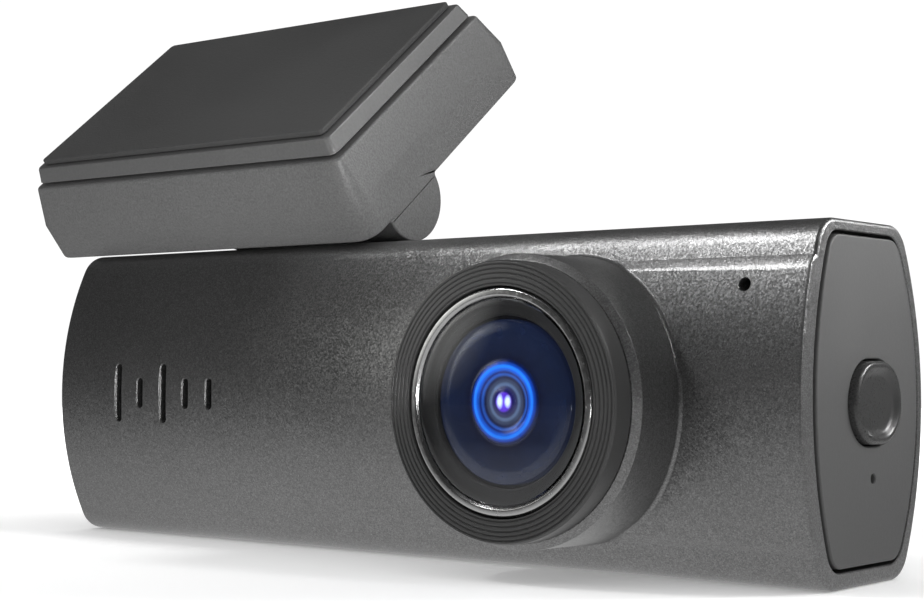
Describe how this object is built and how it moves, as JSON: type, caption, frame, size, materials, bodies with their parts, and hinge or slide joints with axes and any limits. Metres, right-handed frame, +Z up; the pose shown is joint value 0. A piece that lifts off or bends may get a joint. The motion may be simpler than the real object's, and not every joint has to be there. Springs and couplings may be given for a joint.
{
  "type": "dash camera",
  "caption": "Barrel-profile dash camera body with an offset lens hood, speaker slots, an end power button and a tilting adhesive windscreen bracket on top.",
  "frame": {"origin": "on the flat strip under the body, midway between its two ends and midway between its front and back", "axes": "+X along the body toward the end with the power button, -Y the way the lens looks, +Z up toward the bracket"},
  "size_m": [0.1161, 0.0432, 0.067],
  "materials": {
    "body_paint": "fine metallic graphite paint, satin",
    "dark_plastic": "fine-grained satin, faint metallic fleck on the flared sides",
    "panel_plastic": "smooth matt grey",
    "bezel_black": "concentric turned grooves, matt",
    "bright_rim": "polished",
    "cover_glass": "clear, coated",
    "matte_black": "dead matt",
    "coated_lens": "blue anti-reflection coating",
    "anodised_black": "black anodised",
    "circuit_board": "green solder mask",
    "chip_black": "moulded epoxy",
    "shield_steel": "bright tinned sheet",
    "aluminium": "milled, satin",
    "screw_steel": "zinc plated",
    "black_rubber": "matt",
    "paper_cone": "pressed pulp",
    "amber_film": "polyimide film",
    "thermal_pad": "soft gap filler",
    "capacitor_sleeve": "shrink sleeve",
    "foam_tape": "flat matt foam adhesive",
    "antenna_brass": "thin plated strip"
  },
  "bodies": {
    "camera": {"housing": "body_paint", "lens_hood": "body_paint", "hinge_foot": "dark_plastic", "chassis": "dark_plastic", "right_end_panel": "panel_plastic", "left_end_panel": "panel_plastic", "underside_cover": "panel_plastic", "bezel_ring": "bezel_black", "rim_ring": "bright_rim", "cover_glass": "cover_glass", "mask_ring": "matte_black", "lens_holder": "matte_black", "front_lens": "coated_lens", "middle_lens": "coated_lens", "rear_lens": "coated_lens", "lens_barrel": "anodised_black", "lens_spacer_ring": "anodised_black", "microphone": "anodised_black", "sensor_board": "circuit_board", "main_board": "circuit_board", "processor": "chip_black", "memory_chip": "chip_black", "motion_sensor": "chip_black", "speaker_frame": "chip_black", "power_switch": "shield_steel", "reset_switch": "shield_steel", "image_sensor": "shield_steel", "wireless_module": "shield_steel", "usb_socket": "shield_steel", "card_socket": "shield_steel", "speaker_magnet": "shield_steel", "foot_retainer": "shield_steel", "heat_spreader": "aluminium", "sensor_screw_1": "screw_steel", "sensor_screw_2": "screw_steel", "board_screw_1": "screw_steel", "board_screw_2": "screw_steel", "board_screw_3": "screw_steel", "board_screw_4": "screw_steel", "foot_screw_1": "screw_steel", "foot_screw_2": "screw_steel", "hinge_shaft": "screw_steel", "friction_washer_1": "screw_steel", "friction_washer_2": "screw_steel", "speaker_gasket": "black_rubber", "microphone_boot": "black_rubber", "speaker_cone": "paper_cone", "sensor_flex": "amber_film", "thermal_pad": "thermal_pad", "supercapacitor_1": "capacitor_sleeve", "supercapacitor_2": "capacitor_sleeve", "wireless_antenna": "antenna_brass"},
    "bracket": {"bracket_body": "dark_plastic", "mounting_plate": "dark_plastic", "adhesive_pad": "foam_tape", "bracket_screw_1": "screw_steel", "bracket_screw_2": "screw_steel"},
    "power_key": {"power_button": "panel_plastic", "power_switch_plunger": "black_rubber"},
    "card": {"memory_card": "chip_black"}
  },
  "joints": [
    {"name": "bracket_tilt", "type": "hinge", "parent": "camera", "child": "bracket", "pos_m": [-0.0185, -0.001, 0.04144], "axis": [1, 0, 0], "range_deg": [-70, 0]},
    {"name": "power_button_press", "type": "slide", "parent": "camera", "child": "power_key", "axis": [-1, 0, 0], "range_m": [0, 0.0005], "stiffness_N_per_m": 3000},
    {"name": "memory_card_eject", "type": "slide", "parent": "camera", "child": "card", "axis": [-1, 0, 0], "range_m": [0, 0.0035]}
  ]
}
